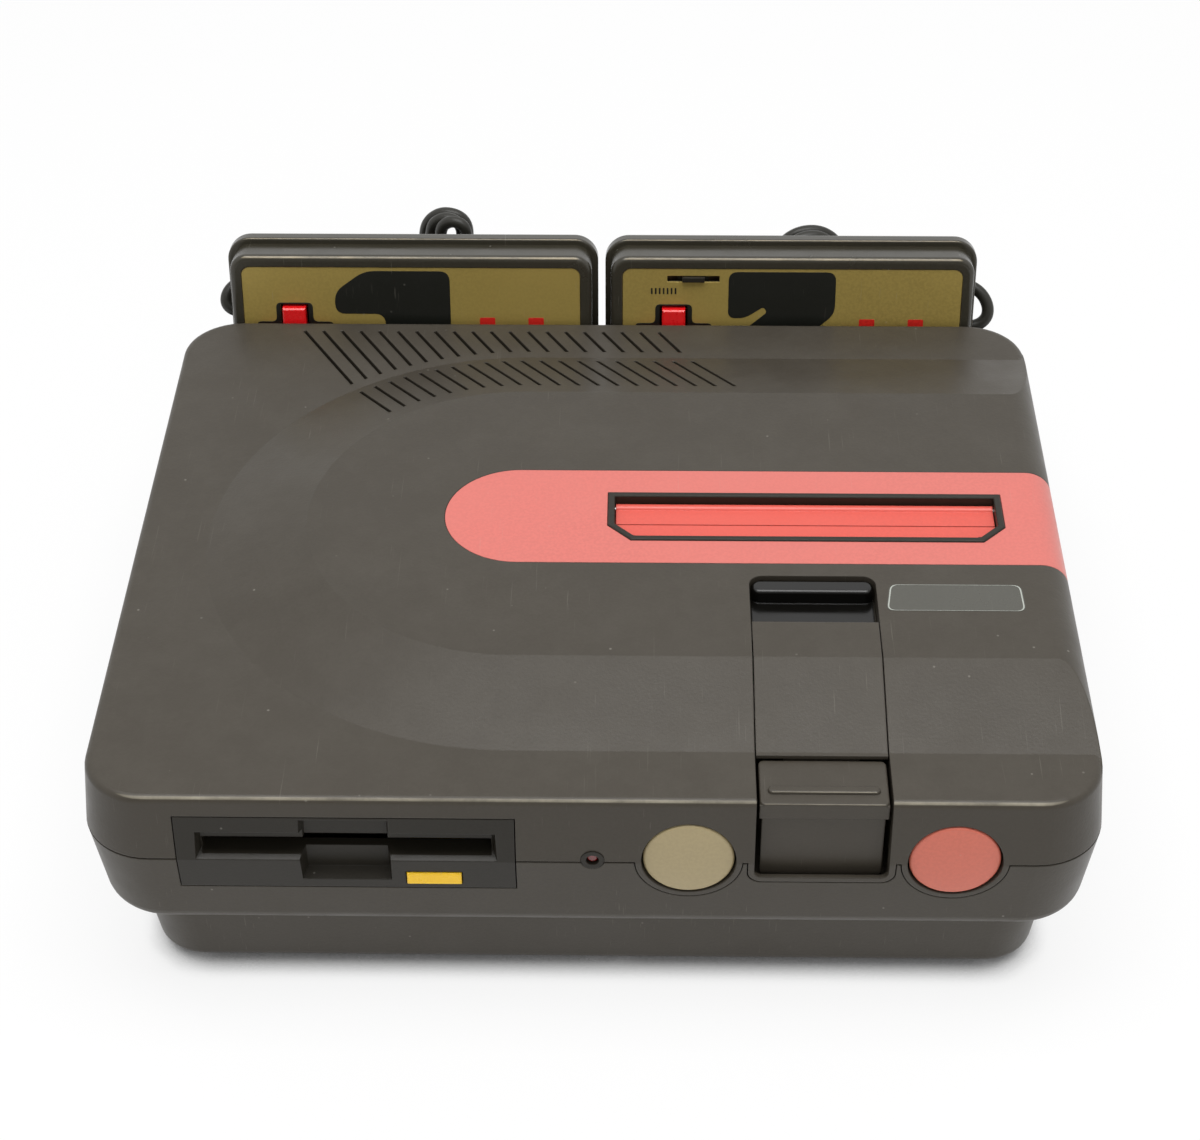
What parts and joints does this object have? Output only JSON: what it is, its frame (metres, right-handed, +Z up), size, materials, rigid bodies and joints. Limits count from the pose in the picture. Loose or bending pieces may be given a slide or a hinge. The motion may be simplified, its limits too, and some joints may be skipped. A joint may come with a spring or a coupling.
{
  "type": "home video game console",
  "caption": "Dark home game console with a front disk card drive, a flap-covered cartridge slot on top, and wired gamepads stowed upright in a rear cradle.",
  "frame": {"origin": "on the table under the middle of the console's case", "axes": "+X to the right as seen from the front, +Y to the back, +Z up"},
  "size_m": [0.282, 0.2948, 0.0994],
  "materials": {
    "case_plastic": "fine grained",
    "black_plastic": "satin",
    "gloss_black": "glossy",
    "red_band": "satin",
    "red_flap": "satin",
    "power_pink": "satin",
    "reset_sand": "satin",
    "yellow_plastic": "satin",
    "lamp_red": "clear",
    "gold_plate": "brushed and lacquered",
    "pad_black": "satin",
    "pad_red": "satin",
    "soft_rubber": "dull",
    "sheet_steel": "plain",
    "spring_steel": "bright",
    "screw_steel": "zinc",
    "board_green": "lacquered",
    "board_brown": "lacquered",
    "grey_plastic": "plain",
    "tie_white": "soft",
    "alloy": "turned"
  },
  "bodies": {
    "console": {"upper_case": "case_plastic", "lower_case": "case_plastic", "rubber_feet": "soft_rubber", "case_screws": "screw_steel", "cartridge_panel": "red_band", "slot_frame": "black_plastic", "flap_pins": "spring_steel", "flap_springs": "spring_steel", "cover_plate": "case_plastic", "button_switches": "grey_plastic", "lamp_ring": "black_plastic", "lamp_lens": "lamp_red", "drive_bezel": "black_plastic", "drive_chassis": "sheet_steel", "drive_motor": "sheet_steel", "drive_belt": "soft_rubber", "main_board": "board_green", "cartridge_connector": "grey_plastic", "dc_jack": "black_plastic", "av_jacks": "alloy", "rf_jack": "alloy", "expansion_connector": "black_plastic", "rear_cradle": "case_plastic", "console_grommets": "soft_rubber", "hank_ties": "tie_white", "left_pad_cord_lead": "soft_rubber", "left_pad_cord_hank": "soft_rubber", "left_pad_cord_tail": "soft_rubber", "right_pad_cord_lead": "soft_rubber", "right_pad_cord_hank": "soft_rubber", "right_pad_cord_tail": "soft_rubber"},
    "flap_rear": {"flap_rear": "red_flap"},
    "flap_front": {"flap_front": "red_flap"},
    "eject_lever": {"eject_lever": "case_plastic"},
    "selector_slider": {"selector_slider": "gloss_black"},
    "reset_button": {"reset_button": "reset_sand"},
    "power_button": {"power_button": "power_pink"},
    "disk_eject_button": {"disk_eject_button": "yellow_plastic"},
    "drive_flywheel": {"drive_flywheel": "alloy"},
    "motor_pulley": {"motor_pulley": "alloy"},
    "head_sled": {"head_sled": "grey_plastic"},
    "left_pad": {"left_pad_front_shell": "pad_black", "left_pad_back_shell": "pad_black", "left_pad_face_plate": "gold_plate", "left_pad_board": "board_brown", "left_pad_screws": "screw_steel"},
    "left_pad_dpad": {"left_pad_dpad": "pad_red"},
    "left_pad_a_button": {"left_pad_a_button": "pad_red"},
    "left_pad_b_button": {"left_pad_b_button": "pad_red"},
    "right_pad": {"right_pad_front_shell": "pad_black", "right_pad_back_shell": "pad_black", "right_pad_face_plate": "gold_plate", "right_pad_board": "board_brown", "right_pad_screws": "screw_steel"},
    "right_pad_dpad": {"right_pad_dpad": "pad_red"},
    "right_pad_a_button": {"right_pad_a_button": "pad_red"},
    "right_pad_b_button": {"right_pad_b_button": "pad_red"},
    "left_pad_select_button": {"left_pad_select_button": "soft_rubber"},
    "left_pad_start_button": {"left_pad_start_button": "soft_rubber"},
    "right_pad_mic_slider": {"right_pad_mic_slider": "black_plastic"}
  },
  "joints": [
    {"name": "rear_flap_swing", "type": "hinge", "parent": "console", "child": "flap_rear", "pos_m": [0.06215, -0.0086, 0.08325], "axis": [1, 0, 0], "range_deg": [0, 85], "stiffness_Nm_per_rad": 0.002, "springref_deg": -22.92},
    {"name": "front_flap_swing", "type": "hinge", "parent": "console", "child": "flap_front", "pos_m": [0.06215, -0.0236, 0.08325], "axis": [-1, 0, 0], "range_deg": [0, 85], "stiffness_Nm_per_rad": 0.002, "springref_deg": -22.92},
    {"name": "lever_push", "type": "slide", "parent": "console", "child": "eject_lever", "axis": [0, 1, 0], "range_m": [0, 0.0105], "stiffness_N_per_m": 60, "springref_m": -0.006},
    {"name": "selector_shift", "type": "slide", "parent": "console", "child": "selector_slider", "axis": [0, -1, 0], "range_m": [0, 0.009]},
    {"name": "reset_push", "type": "slide", "parent": "console", "child": "reset_button", "axis": [0, 1, 0], "range_m": [0, 0.0025], "stiffness_N_per_m": 300, "springref_m": -0.002},
    {"name": "power_push", "type": "slide", "parent": "console", "child": "power_button", "axis": [0, 1, 0], "range_m": [0, 0.003], "stiffness_N_per_m": 300, "springref_m": -0.002},
    {"name": "disk_eject_push", "type": "slide", "parent": "console", "child": "disk_eject_button", "axis": [0, 1, 0], "range_m": [0, 0.0025], "stiffness_N_per_m": 200, "springref_m": -0.002},
    {"name": "flywheel_spin", "type": "hinge", "parent": "console", "child": "drive_flywheel", "pos_m": [-0.0668, -0.0595, 0.0446], "axis": [0, 0, 1], "continuous": true},
    {"name": "pulley_spin", "type": "hinge", "parent": "console", "child": "motor_pulley", "pos_m": [-0.036, -0.0095, 0.0446], "axis": [0, 0, 1], "continuous": true},
    {"name": "sled_travel", "type": "slide", "parent": "console", "child": "head_sled", "axis": [0, 1, 0], "range_m": [0, 0.015]},
    {"name": "left_pad_lift", "type": "slide", "parent": "console", "child": "left_pad", "axis": [0, 0.1736, 0.9848], "range_m": [0, 0.045], "deforming": ["left_pad_cord_lead"]},
    {"name": "left_pad_dpad_rock", "type": "hinge", "parent": "left_pad", "child": "left_pad_dpad", "pos_m": [-0.1044, 0.10554, 0.06932], "axis": [1, 0, 0], "range_deg": [-5, 5], "stiffness_Nm_per_rad": 0.3},
    {"name": "left_pad_a_button_press", "type": "slide", "parent": "left_pad", "child": "left_pad_a_button", "axis": [0, 0.9848, -0.1736], "range_m": [0, 0.0013], "stiffness_N_per_m": 250, "springref_m": -0.001},
    {"name": "left_pad_b_button_press", "type": "slide", "parent": "left_pad", "child": "left_pad_b_button", "axis": [0, 0.9848, -0.1736], "range_m": [0, 0.0013], "stiffness_N_per_m": 250, "springref_m": -0.001},
    {"name": "right_pad_lift", "type": "slide", "parent": "console", "child": "right_pad", "axis": [0, 0.1736, 0.9848], "range_m": [0, 0.045], "deforming": ["right_pad_cord_lead"]},
    {"name": "right_pad_dpad_rock", "type": "hinge", "parent": "right_pad", "child": "right_pad_dpad", "pos_m": [0.0235, 0.10554, 0.06932], "axis": [1, 0, 0], "range_deg": [-5, 5], "stiffness_Nm_per_rad": 0.3},
    {"name": "right_pad_a_button_press", "type": "slide", "parent": "right_pad", "child": "right_pad_a_button", "axis": [0, 0.9848, -0.1736], "range_m": [0, 0.0013], "stiffness_N_per_m": 250, "springref_m": -0.001},
    {"name": "right_pad_b_button_press", "type": "slide", "parent": "right_pad", "child": "right_pad_b_button", "axis": [0, 0.9848, -0.1736], "range_m": [0, 0.0013], "stiffness_N_per_m": 250, "springref_m": -0.001},
    {"name": "left_pad_select_button_press", "type": "slide", "parent": "left_pad", "child": "left_pad_select_button", "axis": [0, 0.9848, -0.1736], "range_m": [0, 0.0013], "stiffness_N_per_m": 200, "springref_m": -0.001},
    {"name": "left_pad_start_button_press", "type": "slide", "parent": "left_pad", "child": "left_pad_start_button", "axis": [0, 0.9848, -0.1736], "range_m": [0, 0.0013], "stiffness_N_per_m": 200, "springref_m": -0.001},
    {"name": "mic_volume", "type": "slide", "parent": "right_pad", "child": "right_pad_mic_slider", "axis": [1, 0, 0], "range_m": [-0.0044, 0.0044]}
  ],
  "couplings": [
    {"joint": "pulley_spin", "follows": "flywheel_spin", "ratio": 6.3}
  ]
}
